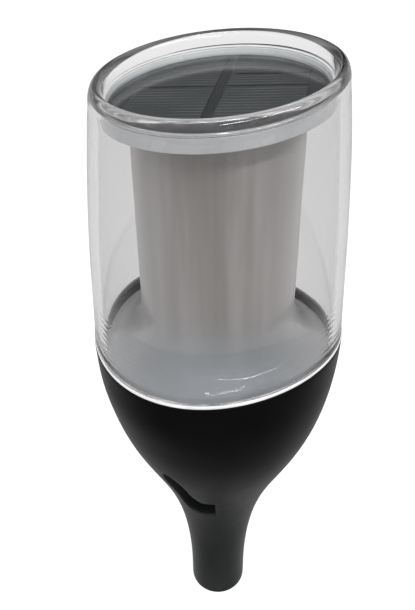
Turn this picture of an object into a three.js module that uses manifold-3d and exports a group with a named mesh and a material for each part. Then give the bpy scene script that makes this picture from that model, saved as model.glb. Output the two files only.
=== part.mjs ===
// Solar garden light head: clear slanted cup over a black tapering base.
// Millimetres, +Z up, origin at the centre of the neck's open end, -Y towards the low side of the rim.
import * as THREE from 'three';
import { mergeVertices } from 'three/addons/utils/BufferGeometryUtils.js';
import Module from 'manifold-3d';

const wasm = await Module();
wasm.setup();

// ---- driving dimensions ----
const SEGMENTS = 48;            // facets round the large turned pieces
const SMALL_SEGMENTS = 20;      // facets round the small ones
const GAP = 0.3;                // clearance between neighbouring pieces

const NECK_R = 16.8;            // outside radius of the neck at its open end
const BELLY_R = 59.2;           // outside radius of the base where the cup sits on it
const JOINT_Z = 209;            // height of the base's top edge at the two sides
const JOINT_DROP = 7;           // how far that edge dips at front and back
const WALL = 3;                 // base wall
const NECK_STRAIGHT = 12;       // straight stretch at the neck's end
const NECK_CHAMFER = 0.7;
const NECK_PULL = 113.5;        // how long the curve stays near the neck
const BELLY_PULL = 89.3;        // how long the curve stays near the belly

const SOCKET_R = 13.4;          // pole socket in the neck
const SOCKET_DEPTH = 60;
const SOCKET_ROOF = 3;
const CAVITY_ROUND = 1.5;       // how much wider the cavity's floor is than the wall alone would leave

const LAND_INNER_R = 54.6;      // inner edge of the base's top land
const LEDGE_R = 50.5;           // inner edge of the ledge under the dish
const LEDGE_DROP = 6;           // ledge below the top edge
const LEDGE_THICK = 3;
const LEDGE_TAPER = 5;          // height over which the ledge's underside runs into the wall
const GROOVE_INNER_R = 56.1;    // groove that takes the cup's tongue
const GROOVE_OUTER_R = 57.7;
const GROOVE_DEPTH = 3.6;

const GASKET_THICK = 1.6;
const SHEET_GAP = 0.1;          // clearance between pieces that lie on each other
const CUP_FOOT_R = 58.9;        // outside radius of the cup's foot
const CUP_FOOT_BORE_R = 54.7;
const TONGUE_CLEAR = 0.2;
const CUP_LOW_PULL = [57.6, 218];   // control points of the outer curve, [radius, height]
const CUP_HIGH_PULL = [56.4, 275];
const CUP_BORE = [[45.3, 318.4], [48.2, 295.4], [51, 265.4], [53, 237.4]];
const RIM_SLOPE = 0.14;         // rise per millimetre from front to back
const LIP_FOOT_Z = 318;         // where the wall starts to round over, on the axis
const LIP_R = 46.6;             // radius of the lip's crest
const LIP_HALF_WIDTH = 3.1;
const LIP_HEIGHT = 6.2;
const LIP_ARC = 176;            // how far the lip's section curls over, degrees
const LIP_STEPS = 7;

const TUBE_R = 35.7;            // frosted tube
const TUBE_WALL = 1.4;
const TUBE_MIDDLE_Z = 270;
const TUBE_TAPER = 0.3;         // how much the radius shrinks to the middle, and again to the top
const FLARE_TOP_Z = 227;
const DISH_R = 54.2;
const DISH_TOP_Z = 204.9;
const DISH_THICK = 1.7;

const TRAY_R = 44.8;            // white tray under the panel
const TRAY_FLOOR_Z = 311.9;
const TRAY_FLOOR = 1.2;
const TRAY_TOP_Z = 317.4;
const WIRE_HOLE_R = 5;
const RECESS_R = 43.1;
const SPIGOT_R = 33.9;          // ring under the tray that centres it in the tube
const SPIGOT_WALL = 1.6;
const SPIGOT_DEPTH = 8;
const SPIGOT_TAPER = 0.3;
const BOARD_R = 42.7;
const BOARD_THICK = 1;
const CELL_R = 41.2;
const CELL_REACH = 34;          // half the width of the cells, across the bar
const CELL_THICK = 0.3;
const CELL_SPLIT = 4.4;         // dark bar between the two halves
const PANEL_TURN = 27.5;        // how far that bar is turned from front-to-back, degrees
const COVER_THICK = 0.8;
const SEAL_INNER_R = 43.3;
const SEAL_THICK = 0.5;
const SOCKET_SIZE = [12, 8, 6]; // connector on the deck that the panel's wires plug into
const SOCKET_WALL = 1.2;
const SOCKET_FLOOR = 1.5;
const PLUG_SIZE = [9, 5, 9];
const LATCH_SIZE = [4, 1.6, 3];
const PLUG_SEAT = 2.2;          // plug's lower face above the socket's

const DECK_Z = 186;             // underside of the deck
const DECK_R = 50;
const DECK_THICK = 2.4;
const POST_RING_R = 45.5;
const POST_R = 4.2;
const POST_FOOT_Z = 146;
const SCREW_COUNT = 3;
const SCREW_HEAD_R = 3.2;
const SCREW_HEAD = 2;
const SCREW_SHANK_R = 1.4;
const SCREW_LENGTH = 11;
const SCREW_POINT = 1.5;
const WIRE_PASS = [5, 4];       // hole in the deck for the battery's wires
const WIRE_PASS_SPOT = [27, -4];

const LED_BOARD_R = 27;
const LED_BOARD_BORE_R = 8;
const LED_BOARD_THICK = 1.6;
const LED_COUNT = 4;
const LED_RING_R = 18;
const LED_SIZE = [5, 5, 1.5];

const CELL_BODY_R = 7.1;        // AA battery cell
const CELL_BODY_LENGTH = 49;
const CELL_NUB_R = 2.7;
const CELL_NUB = 1.4;
const CELL_BODY_X = 2;          // the cell sits off centre, away from the spring
const BATTERY_Y = 14;           // battery axis behind the centre
const HOLDER_WALL = 1.6;
const HOLDER_LENGTH = 62;
const HOLDER_WIDTH = 18.4;
const HOLDER_DEPTH = 18;
const HOLDER_TOP_Z = DECK_Z - 0.1;
const BATTERY_Z = HOLDER_TOP_Z - HOLDER_WALL - 0.5 - CELL_BODY_R;
const CONTACT_SIZE = [0.6, 9, 18];
const CONTACT_RISE = 6;         // contact's top edge above the battery axis
const SPRING_R = 5;
const SPRING_TAPER = 1.6;
const SPRING_TURNS = 3;
const SPRING_WIRE_R = 0.4;

const MAIN_BOARD = [38, 26, 1.6];
const MAIN_BOARD_Y = -16;
const BOARD_DROP = 3;           // board's top face below the deck
const HEADER = [10, 2.5];       // pins that join the two boards through the deck
const CHIP_SIZE = [6, 5, 1.6];
const CHIP_X = -8;
const COIL_R = 4;
const COIL_HEIGHT = 4.5;
const COIL_X = 9;
const PEG_X = 15;
const PEG_Y = -26;
const PEG_R = 2;

const SLOT_REF_R = 36;          // radius at which the opening's outline is drawn
const SLOT_LEFT = 0.6;          // outline, measured round the neck from the front line
const SLOT_RIGHT = 22.3;
const SLOT_FLOOR_Z = 95;
const SLOT_LIP_Z = 113.5;
const SLOT_TOP_Z = 144;
const SLOT_LEG_RIGHT = 9.6;
const SLOT_HEEL = 9;            // rounding where the leg turns into the foot
const SLOT_CROWN = 4;           // rounding at the top of the leg
const SLOT_SWEEP = 14;          // height over which the leg narrows towards its top
const SLOT_ELBOW = 6;           // rounding of the inside corner
const SLOT_EASE = 1;            // slight fall and rise of the long edges
const POCKET_WALL = 2;
const POCKET_BACK_R = 18.5;     // radius of the pocket's back wall, pocket side
const BUTTON_ANGLE = 20;        // degrees from the front line
const BUTTON_Z = 104.5;
const BUTTON_R = 3.6;
const BUTTON_TRAVEL = 1.5;
const BUTTON_PROUD = 2;         // how far the pressed button still stands out of the pocket's back
const BUTTON_CHAMFER = 0.8;
const FLANGE = 1.6;             // button's flange behind the pocket's back wall
const FLANGE_THICK = 1;
const PLUNGER_R = 1.5;
const PLUNGER_LENGTH = 3.4;
const SWITCH_SIZE = 7;
const SHELF_SIZE = [13, 9, 2];
const SHELF_REACH = 11.5;       // shelf's middle from the axis
const PAD_REACH = 8.7;          // middle of the pad that the switch stands on
const SHELF_DROP = 5.6;         // shelf under the switch, below the button's axis

const FAR_OUT = 70;             // cutting tools reach past the widest part
const TURN = 2 * Math.PI;
const radians = (degrees) => degrees * Math.PI / 180;

// ---- materials ----
const finish = (color, roughness, metalness = 0, opacity = 1) => new THREE.MeshStandardMaterial({
  color, roughness, metalness, opacity, transparent: opacity < 1,
});
const satinBlack = finish(0x141514, 0.45);
const clearPlastic = finish(0xe8ecee, 0.05, 0, 0.25);
const paleSilicone = finish(0xeeeeea, 0.5);
const frosted = finish(0xb9b5b0, 0.4);
const whitePlastic = finish(0xe6e6e4, 0.3);
const cellBlack = finish(0x1a1c20, 0.25);
const fibreBoard = finish(0x1f4a33, 0.6);
const steel = finish(0xb8babc, 0.3, 1);
const blackRubber = finish(0x18181a, 0.8);
const redWire = finish(0xa01818, 0.5);
const blackWire = finish(0x181818, 0.5);
const greenSleeve = finish(0x2f7d4a, 0.4);
const ledLens = finish(0xf2e08a, 0.3);

// ---- solids ----
function toManifold(geometry) {
  const bare = geometry.clone();
  bare.deleteAttribute('normal');
  bare.deleteAttribute('uv');
  const welded = mergeVertices(bare, 1e-5);
  const vertProperties = new Float32Array(welded.attributes.position.array);
  const triVerts = new Uint32Array(welded.index.array);
  const solid = new wasm.Manifold(new wasm.Mesh({ numProp: 3, vertProperties, triVerts }));
  if (solid.volume() > 0) {
    return solid;
  }
  for (let i = 0; i < triVerts.length; i += 3) {
    [triVerts[i], triVerts[i + 1]] = [triVerts[i + 1], triVerts[i]];
  }
  return new wasm.Manifold(new wasm.Mesh({ numProp: 3, vertProperties, triVerts }));
}

function toGeometry(solid) {
  const mesh = solid.getMesh();
  const geometry = new THREE.BufferGeometry();
  geometry.setAttribute('position', new THREE.BufferAttribute(new Float32Array(mesh.vertProperties), 3));
  geometry.setIndex(new THREE.BufferAttribute(new Uint32Array(mesh.triVerts), 1));
  geometry.computeVertexNormals();
  return geometry;
}

function warp(geometry, move) {
  const position = geometry.attributes.position;
  const point = new THREE.Vector3();
  for (let i = 0; i < position.count; i += 1) {
    point.fromBufferAttribute(position, i);
    move(point);
    position.setXYZ(i, point.x, point.y, point.z);
  }
  return geometry;
}

const at = (geometry, x, y, z) => geometry.translate(x, y, z);
const box = (width, depth, height) => new THREE.BoxGeometry(width, depth, height);

// Turns a profile of [radius, height] points about Z.
function turned(profile, segments = SEGMENTS) {
  const points = profile.map(([r, z]) => new THREE.Vector2(Math.max(r, 0), z));
  return new THREE.LatheGeometry(points, segments).rotateX(Math.PI / 2);
}

const closed = (profile) => [...profile, profile[0]];

function rod(radius, from, to, segments = SMALL_SEGMENTS) {
  return turned([[0, from], [radius, from], [radius, to], [0, to]], segments);
}

// A round wire along a smooth path through the given points.
function wire(points, radius = 0.7, steps = 12) {
  const shape = new THREE.Shape();
  shape.absarc(0, 0, radius, 0, TURN, false);
  const path = new THREE.CatmullRomCurve3(points.map((p) => new THREE.Vector3(...p)));
  return new THREE.ExtrudeGeometry(shape, {
    extrudePath: path, steps, curveSegments: 3, bevelEnabled: false,
  });
}

// ---- the slanted and arched surfaces ----
const smooth = (from, to, value) => THREE.MathUtils.smoothstep(value, from, to);

// The joint dips at front and back; the rim, panel and tray all lean towards the front.
function slant(point) {
  const nearJoint = smooth(165, 200, point.z) * (1 - smooth(222, 262, point.z));
  const nearRim = smooth(235, 300, point.z);
  const dip = JOINT_DROP * (point.y / BELLY_R) ** 2;
  point.z += nearRim * RIM_SLOPE * point.y - nearJoint * dip;
}

const slanted = (geometry) => warp(geometry, slant);
const slantedTurning = (profile) => toGeometry(toManifold(slanted(turned(profile))));

// ---- base ----
const BOWL_STEPS = 11;
const bowl = new THREE.CubicBezierCurve(
  new THREE.Vector2(NECK_R, NECK_STRAIGHT),
  new THREE.Vector2(NECK_R, NECK_STRAIGHT + NECK_PULL),
  new THREE.Vector2(BELLY_R, JOINT_Z - BELLY_PULL),
  new THREE.Vector2(BELLY_R, JOINT_Z),
);

// Outside of the base from the neck's end up to the joint.
function bowlOutside() {
  const curved = bowl.getPoints(BOWL_STEPS).map((p) => [p.x, p.y]);
  return [[NECK_R - NECK_CHAMFER, 0], [NECK_R, NECK_CHAMFER], ...curved];
}

// The bowl's inner surface: the outer curve moved in along its normal, kept between two heights.
function bowlInside(lowest, highest) {
  const inner = [];
  for (let i = 0; i <= BOWL_STEPS; i += 1) {
    const p = bowl.getPoint(i / BOWL_STEPS);
    const direction = bowl.getTangent(i / BOWL_STEPS);
    const r = p.x - WALL * direction.y;
    const z = p.y + WALL * direction.x;
    if (z > lowest && z < highest) {
      inner.push([r, z]);
    }
  }
  return inner;
}

function baseProfile() {
  const cavityFloor = SOCKET_DEPTH + SOCKET_ROOF;
  const ledgeZ = JOINT_Z - LEDGE_DROP;
  const inside = bowlInside(cavityFloor + WALL, ledgeZ - LEDGE_THICK - LEDGE_TAPER).reverse();
  return closed([
    [SOCKET_R, 0],
    ...bowlOutside(),
    [GROOVE_OUTER_R, JOINT_Z],
    [GROOVE_OUTER_R, JOINT_Z - GROOVE_DEPTH],
    [GROOVE_INNER_R, JOINT_Z - GROOVE_DEPTH],
    [GROOVE_INNER_R, JOINT_Z],
    [LAND_INNER_R, JOINT_Z],
    [LAND_INNER_R, ledgeZ],
    [LEDGE_R, ledgeZ],
    [LEDGE_R, ledgeZ - LEDGE_THICK],
    ...inside,
    [NECK_R - WALL + CAVITY_ROUND, cavityFloor],
    [0, cavityFloor],
    [0, SOCKET_DEPTH],
    [SOCKET_R, SOCKET_DEPTH],
  ]);
}

// Outline of the neck opening: a leg that rises towards the bowl and a wide foot, grown by a margin.
function openingOutline(grow = 0) {
  const left = SLOT_LEFT - grow;
  const right = SLOT_RIGHT + grow;
  const floor = SLOT_FLOOR_Z - grow;
  const top = SLOT_TOP_Z + grow;
  const leg = SLOT_LEG_RIGHT + grow;
  const lip = SLOT_LIP_Z + grow;
  const shape = new THREE.Shape();
  shape.moveTo(right, floor + SLOT_EASE);
  shape.lineTo(left + SLOT_HEEL, floor);
  shape.quadraticCurveTo(left, floor, left, floor + SLOT_HEEL);
  shape.lineTo(left, top - 2 * SLOT_CROWN);
  shape.quadraticCurveTo(left, top, left + SLOT_CROWN, top);
  shape.quadraticCurveTo(leg - 2 * SLOT_EASE, top - 2 * SLOT_EASE, leg, top - SLOT_SWEEP);
  shape.quadraticCurveTo(leg, lip, leg + SLOT_ELBOW, lip - SLOT_EASE);
  shape.lineTo(right, lip);
  shape.closePath();
  return shape;
}

// Wraps an outline drawn on the neck into a block with radial sides.
function wrapped(shape, innerR, outerR) {
  const block = new THREE.ExtrudeGeometry(shape, {
    depth: outerR - innerR, bevelEnabled: false, curveSegments: 5,
  });
  return warp(block, (point) => {
    const angle = point.x / SLOT_REF_R - Math.PI / 2;
    const radius = innerR + point.z;
    point.set(radius * Math.cos(angle), radius * Math.sin(angle), point.y);
  });
}

// Places a piece built along +X so that it points out through the neck opening.
function towardsOpening(geometry) {
  return geometry.rotateZ(radians(BUTTON_ANGLE) - Math.PI / 2).translate(0, 0, BUTTON_Z);
}

function screwSpots() {
  const spots = [];
  for (let i = 0; i < SCREW_COUNT; i += 1) {
    const angle = radians(90) + i * TURN / SCREW_COUNT;
    spots.push([POST_RING_R * Math.cos(angle), POST_RING_R * Math.sin(angle)]);
  }
  return spots;
}

function baseShell() {
  const whole = toManifold(slanted(turned([[0, 0], ...bowlOutside(), [0, JOINT_Z]])));
  let solid = toManifold(slanted(turned(baseProfile())));
  for (const [x, y] of screwSpots()) {
    const post = toManifold(at(rod(POST_R, POST_FOOT_Z, DECK_Z - SHEET_GAP), x, y, 0));
    solid = solid.add(post.intersect(whole));
  }
  const pocket = wrapped(openingOutline(POCKET_WALL), POCKET_BACK_R - POCKET_WALL, FAR_OUT);
  solid = solid.add(toManifold(pocket).intersect(whole));
  solid = solid.subtract(toManifold(wrapped(openingOutline(), POCKET_BACK_R, FAR_OUT)));
  const shelf = at(box(...SHELF_SIZE), SHELF_REACH, 0, -SHELF_DROP - SHELF_SIZE[2] / 2);
  const padTop = -SWITCH_SIZE / 2 - SHEET_GAP;
  const pad = at(box(SWITCH_SIZE, SWITCH_SIZE, SHELF_DROP), PAD_REACH, 0, padTop - SHELF_DROP / 2);
  solid = solid.add(toManifold(towardsOpening(shelf)));
  solid = solid.add(toManifold(towardsOpening(pad)));
  const buttonHole = rod(BUTTON_R + GAP, POCKET_BACK_R / 2, POCKET_BACK_R + 1).rotateY(Math.PI / 2);
  solid = solid.subtract(toManifold(towardsOpening(buttonHole)));
  for (const [x, y] of screwSpots()) {
    const pilot = rod(SCREW_SHANK_R + GAP, DECK_Z - SCREW_LENGTH, DECK_Z + 1, 12);
    solid = solid.subtract(toManifold(at(pilot, x, y, 0)));
  }
  return toGeometry(solid);
}

// ---- cup, gasket and diffuser ----
function cupOuter() {
  const curve = new THREE.CubicBezierCurve(
    new THREE.Vector2(CUP_FOOT_R, JOINT_Z + GASKET_THICK + TONGUE_CLEAR),
    new THREE.Vector2(...CUP_LOW_PULL),
    new THREE.Vector2(...CUP_HIGH_PULL),
    new THREE.Vector2(LIP_R + LIP_HALF_WIDTH, LIP_FOOT_Z),
  );
  return curve.getPoints(8).map((p) => [p.x, p.y]);
}

function clearCup() {
  const lip = [];
  for (let i = 1; i <= LIP_STEPS; i += 1) {
    const angle = radians(LIP_ARC) * i / LIP_STEPS;
    lip.push([LIP_R + LIP_HALF_WIDTH * Math.cos(angle), LIP_FOOT_Z + LIP_HEIGHT * Math.sin(angle)]);
  }
  const profile = closed([
    [CUP_FOOT_BORE_R, JOINT_Z + TONGUE_CLEAR],
    [GROOVE_INNER_R + TONGUE_CLEAR, JOINT_Z + TONGUE_CLEAR],
    [GROOVE_INNER_R + TONGUE_CLEAR, JOINT_Z - GROOVE_DEPTH + GAP],
    [GROOVE_OUTER_R - TONGUE_CLEAR, JOINT_Z - GROOVE_DEPTH + GAP],
    [GROOVE_OUTER_R - TONGUE_CLEAR, JOINT_Z + GASKET_THICK + TONGUE_CLEAR],
    ...cupOuter(),
    ...lip,
    ...CUP_BORE,
  ]);
  return slantedTurning(profile);
}

function cupGasket() {
  const inner = GROOVE_OUTER_R + SHEET_GAP;
  const outer = BELLY_R - SHEET_GAP;
  return slantedTurning(closed([
    [inner, JOINT_Z + SHEET_GAP],
    [outer, JOINT_Z + SHEET_GAP],
    [outer, JOINT_Z + GASKET_THICK],
    [inner, JOINT_Z + GASKET_THICK],
  ]));
}

// Quarter-ellipse trumpet from the straight tube out to the dish's edge.
function flare(wall, steps = 7) {
  const reach = DISH_R - TUBE_R;
  const rise = FLARE_TOP_Z - DISH_TOP_Z;
  const points = [];
  for (let i = 0; i <= steps; i += 1) {
    const angle = (i / steps) * Math.PI / 2;
    const r = DISH_R - reach * Math.cos(angle) - wall * Math.cos(angle);
    const z = FLARE_TOP_Z - rise * Math.sin(angle) - wall * Math.sin(angle);
    points.push([r, z]);
  }
  return points;
}

function diffuser() {
  const topZ = TRAY_FLOOR_Z - GAP;
  const profile = closed([
    [TUBE_R - 2 * TUBE_TAPER, topZ],
    [TUBE_R - TUBE_TAPER, TUBE_MIDDLE_Z],
    ...flare(0),
    [DISH_R, DISH_TOP_Z - DISH_THICK],
    ...flare(DISH_THICK).reverse().slice(1),
    [TUBE_R - TUBE_TAPER - TUBE_WALL, TUBE_MIDDLE_Z],
    [TUBE_R - TUBE_TAPER - TUBE_WALL, topZ],
  ]);
  return slantedTurning(profile);
}

// ---- solar panel ----
function panelTray() {
  const floorTop = TRAY_FLOOR_Z + TRAY_FLOOR;
  return slantedTurning(closed([
    [WIRE_HOLE_R, floorTop],
    [RECESS_R, floorTop],
    [RECESS_R, TRAY_TOP_Z],
    [TRAY_R, TRAY_TOP_Z],
    [TRAY_R, TRAY_FLOOR_Z],
    [SPIGOT_R, TRAY_FLOOR_Z],
    [SPIGOT_R - SPIGOT_TAPER, TRAY_FLOOR_Z - SPIGOT_DEPTH],
    [SPIGOT_R - SPIGOT_WALL, TRAY_FLOOR_Z - SPIGOT_DEPTH],
    [SPIGOT_R - SPIGOT_WALL, TRAY_FLOOR_Z],
    [WIRE_HOLE_R, TRAY_FLOOR_Z],
  ]));
}

const boardZ = TRAY_FLOOR_Z + TRAY_FLOOR + SHEET_GAP;
const cellZ = boardZ + BOARD_THICK + SHEET_GAP;
const coverZ = cellZ + CELL_THICK + SHEET_GAP;

function panelDisc(radius, from, thickness) {
  return slanted(rod(radius, from, from + thickness, SEGMENTS));
}

// Round-ended half on one side of the dark bar, cut straight at its outer side.
function solarCell(side) {
  const start = Math.PI / 2 - Math.asin(CELL_SPLIT / 2 / CELL_R);
  const cut = Math.acos(CELL_REACH / CELL_R);
  const shape = new THREE.Shape();
  shape.absarc(0, 0, CELL_R, -start, -cut, false);
  shape.absarc(0, 0, CELL_R, cut, start, false);
  shape.closePath();
  const half = new THREE.ExtrudeGeometry(shape, {
    depth: CELL_THICK, bevelEnabled: false, curveSegments: 10,
  });
  const turn = side > 0 ? 0 : Math.PI;
  return slanted(at(half.rotateZ(turn + radians(PANEL_TURN)), 0, 0, cellZ));
}

function panelSeal() {
  const from = TRAY_TOP_Z + SHEET_GAP;
  return slantedTurning(closed([
    [SEAL_INNER_R, from],
    [TRAY_R - SHEET_GAP, from],
    [TRAY_R - SHEET_GAP, from + SEAL_THICK],
    [SEAL_INNER_R, from + SEAL_THICK],
  ]));
}

// Pieces on the deck stand a sheet gap above its top face.
const seat = DECK_Z + DECK_THICK + SHEET_GAP;
const plugTop = seat + PLUG_SEAT + PLUG_SIZE[2];

// From the panel's terminals down the tube to the plug, with some slack.
function panelWire(x) {
  return wire([
    [x, 0, TRAY_FLOOR_Z + TRAY_FLOOR],
    [x * 1.3, 3, 280],
    [x * 0.9, -2, 240],
    [x * 0.35, 0, plugTop + SHEET_GAP],
  ], 0.75, 14);
}

function panelSocket() {
  const [width, depth, height] = SOCKET_SIZE;
  const middle = seat + height / 2;
  const shell = at(box(width, depth, height), 0, 0, middle);
  const hollow = box(width - 2 * SOCKET_WALL, depth - 2 * SOCKET_WALL, height);
  const well = at(hollow, 0, 0, middle + SOCKET_FLOOR);
  return toGeometry(toManifold(shell).subtract(toManifold(well)));
}

function panelPlug() {
  const body = at(box(...PLUG_SIZE), 0, 0, plugTop - PLUG_SIZE[2] / 2);
  const latch = at(box(...LATCH_SIZE), 0, PLUG_SIZE[1] / 2 + 0.5, plugTop - LATCH_SIZE[2] / 2);
  return toGeometry(toManifold(body).add(toManifold(latch)));
}

// ---- deck and light source ----
function deck() {
  let solid = toManifold(rod(DECK_R, DECK_Z, DECK_Z + DECK_THICK, SEGMENTS));
  for (const [x, y] of screwSpots()) {
    const hole = rod(SCREW_SHANK_R + GAP, DECK_Z - 1, DECK_Z + DECK_THICK + 1, 12);
    solid = solid.subtract(toManifold(at(hole, x, y, 0)));
  }
  for (const x of [-PEG_X, PEG_X]) {
    const peg = rod(PEG_R, DECK_Z - BOARD_DROP + SHEET_GAP, DECK_Z + 1, 12);
    solid = solid.add(toManifold(at(peg, x, PEG_Y, 0)));
  }
  const tall = 4 * DECK_THICK;
  const headerPass = at(box(HEADER[0] + 1, HEADER[1] + 1, tall), 0, MAIN_BOARD_Y, DECK_Z);
  const wirePass = at(box(...WIRE_PASS, tall), ...WIRE_PASS_SPOT, DECK_Z);
  return toGeometry(solid.subtract(toManifold(headerPass)).subtract(toManifold(wirePass)));
}

function deckScrew([x, y]) {
  const profile = [
    [0, seat - SCREW_LENGTH],
    [SCREW_SHANK_R, seat - SCREW_LENGTH + SCREW_POINT],
    [SCREW_SHANK_R, seat],
    [SCREW_HEAD_R, seat],
    [SCREW_HEAD_R * 0.8, seat + SCREW_HEAD],
    [0, seat + SCREW_HEAD],
  ];
  return at(turned(profile, 16), x, y, 0);
}

function ledBoard() {
  return turned(closed([
    [LED_BOARD_BORE_R, seat],
    [LED_BOARD_R, seat],
    [LED_BOARD_R, seat + LED_BOARD_THICK],
    [LED_BOARD_BORE_R, seat + LED_BOARD_THICK],
  ]), 40);
}

function led(index) {
  const angle = radians(45) + index * TURN / LED_COUNT;
  const z = seat + LED_BOARD_THICK + SHEET_GAP + LED_SIZE[2] / 2;
  const body = box(...LED_SIZE).rotateZ(angle);
  return at(body, LED_RING_R * Math.cos(angle), LED_RING_R * Math.sin(angle), z);
}

// ---- boards and battery under the deck ----
function mainBoard() {
  const [width, depth, thickness] = MAIN_BOARD;
  return at(box(width, depth, thickness), 0, MAIN_BOARD_Y, DECK_Z - BOARD_DROP - thickness / 2);
}

const boardFace = DECK_Z - BOARD_DROP - MAIN_BOARD[2] - SHEET_GAP;

function controlChip() {
  return at(box(...CHIP_SIZE), CHIP_X, MAIN_BOARD_Y, boardFace - CHIP_SIZE[2] / 2);
}

function boostCoil() {
  return at(rod(COIL_R, -COIL_HEIGHT, 0, 18), COIL_X, MAIN_BOARD_Y, boardFace);
}

function boardHeader() {
  const from = DECK_Z - BOARD_DROP + SHEET_GAP;
  const to = seat - SHEET_GAP;
  return at(box(HEADER[0], HEADER[1], to - from), 0, MAIN_BOARD_Y, (from + to) / 2);
}

// Soldered under the board, away from the chip and the coil.
function boardWire(x, y, ...route) {
  return wire([...route, [x, y, boardFace - 4], [x, y, boardFace - 2 * SHEET_GAP]]);
}

function batteryWireRed() {
  const x = HOLDER_LENGTH / 2 - HOLDER_WALL - 1.8;
  const z = BATTERY_Z + CONTACT_RISE - CONTACT_SIZE[2];
  return boardWire(16, -10, [x, BATTERY_Y, z + 1], [x - 3, 4, z - 1], [18, -6, z + 5]);
}

function batteryWireBlack() {
  const x = -HOLDER_LENGTH / 2 + HOLDER_WALL + 1;
  const z = BATTERY_Z - 6.4;
  return boardWire(-16, -10, [x, BATTERY_Y, z], [x, 9, z - 6], [-18, -6, z - 1]);
}

function batteryHolder() {
  const z = HOLDER_TOP_Z - HOLDER_DEPTH / 2;
  const outer = toManifold(at(box(HOLDER_LENGTH, HOLDER_WIDTH, HOLDER_DEPTH), 0, BATTERY_Y, z));
  const bay = box(HOLDER_LENGTH - 2 * HOLDER_WALL, HOLDER_WIDTH - 2 * HOLDER_WALL, HOLDER_DEPTH);
  return toGeometry(outer.subtract(toManifold(at(bay, 0, BATTERY_Y, z - HOLDER_WALL))));
}

function batteryCell() {
  const half = CELL_BODY_LENGTH / 2;
  const profile = [
    [0, -half],
    [CELL_BODY_R, -half],
    [CELL_BODY_R, half],
    [CELL_NUB_R, half],
    [CELL_NUB_R, half + CELL_NUB],
    [0, half + CELL_NUB],
  ];
  return at(turned(profile, 28).rotateY(Math.PI / 2), CELL_BODY_X, BATTERY_Y, BATTERY_Z);
}

function contactPlate() {
  const x = HOLDER_LENGTH / 2 - HOLDER_WALL - 0.5;
  return at(box(...CONTACT_SIZE), x, BATTERY_Y, BATTERY_Z + CONTACT_RISE - CONTACT_SIZE[2] / 2);
}

// A cone of wire between the holder's end wall and the cell's flat end.
function contactSpring() {
  const start = -HOLDER_LENGTH / 2 + HOLDER_WALL + 0.8;
  const end = CELL_BODY_X - CELL_BODY_LENGTH / 2 - 0.8;
  const steps = SPRING_TURNS * 8;
  const points = [];
  for (let i = 0; i <= steps; i += 1) {
    const along = i / steps;
    const r = SPRING_R - SPRING_TAPER * along;
    const angle = SPRING_TURNS * TURN * along;
    points.push([
      start + (end - start) * along,
      BATTERY_Y + r * Math.cos(angle),
      BATTERY_Z + r * Math.sin(angle),
    ]);
  }
  return wire(points, SPRING_WIRE_R, SPRING_TURNS * 10);
}

// ---- switch ----
const buttonTip = POCKET_BACK_R + BUTTON_TRAVEL + BUTTON_PROUD;
const flangeFace = POCKET_BACK_R - POCKET_WALL - 1.1;
const plungerTip = flangeFace - FLANGE_THICK - GAP;

function switchButton() {
  const profile = [
    [0, flangeFace - FLANGE_THICK],
    [BUTTON_R + FLANGE, flangeFace - FLANGE_THICK],
    [BUTTON_R + FLANGE, flangeFace],
    [BUTTON_R, flangeFace],
    [BUTTON_R, buttonTip - BUTTON_CHAMFER],
    [BUTTON_R - BUTTON_CHAMFER, buttonTip],
    [0, buttonTip],
  ];
  return towardsOpening(turned(profile, 24).rotateY(Math.PI / 2));
}

function switchPlunger() {
  return towardsOpening(rod(PLUNGER_R, plungerTip - PLUNGER_LENGTH, plungerTip, 16).rotateY(Math.PI / 2));
}

function switchWire(side) {
  const behind = plungerTip - BUTTON_TRAVEL - SWITCH_SIZE - 1.4;
  const angle = radians(BUTTON_ANGLE) - Math.PI / 2;
  const x = behind * Math.cos(angle) - side * 2 * Math.sin(angle);
  const y = behind * Math.sin(angle) + side * 2 * Math.cos(angle);
  return boardWire(side * 3, -25, [x, y, BUTTON_Z], [x, -2, 122], [x, -10, 160]);
}

function switchBody() {
  const face = plungerTip - BUTTON_TRAVEL - 0.4;
  const body = toManifold(at(box(SWITCH_SIZE, SWITCH_SIZE, SWITCH_SIZE), face - SWITCH_SIZE / 2, 0, 0));
  const bore = toManifold(rod(PLUNGER_R + GAP, face - PLUNGER_LENGTH, face + 1, 16).rotateY(Math.PI / 2));
  return towardsOpening(toGeometry(body.subtract(bore)));
}

// ---- assembly ----
const light = new THREE.Group();
light.name = 'solar_garden_light_head';

function addPiece(name, geometry, material) {
  const mesh = new THREE.Mesh(geometry, material);
  mesh.name = name;
  light.add(mesh);
}

addPiece('base_shell', baseShell(), satinBlack);
addPiece('clear_cup', clearCup(), clearPlastic);
addPiece('cup_gasket', cupGasket(), paleSilicone);
addPiece('diffuser', diffuser(), frosted);

addPiece('panel_tray', panelTray(), whitePlastic);
addPiece('panel_board', panelDisc(BOARD_R, boardZ, BOARD_THICK), fibreBoard);
addPiece('solar_cell_left', solarCell(-1), cellBlack);
addPiece('solar_cell_right', solarCell(1), cellBlack);
addPiece('panel_cover', panelDisc(BOARD_R, coverZ, COVER_THICK), clearPlastic);
addPiece('panel_seal', panelSeal(), paleSilicone);
addPiece('panel_wire_red', panelWire(3), redWire);
addPiece('panel_wire_black', panelWire(-3), blackWire);
addPiece('panel_plug', panelPlug(), whitePlastic);
addPiece('panel_socket', panelSocket(), whitePlastic);

addPiece('deck', deck(), whitePlastic);
screwSpots().forEach((spot, i) => addPiece(`deck_screw_${i + 1}`, deckScrew(spot), steel));
addPiece('led_board', ledBoard(), whitePlastic);
for (let i = 0; i < LED_COUNT; i += 1) {
  addPiece(`led_${i + 1}`, led(i), ledLens);
}

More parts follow.
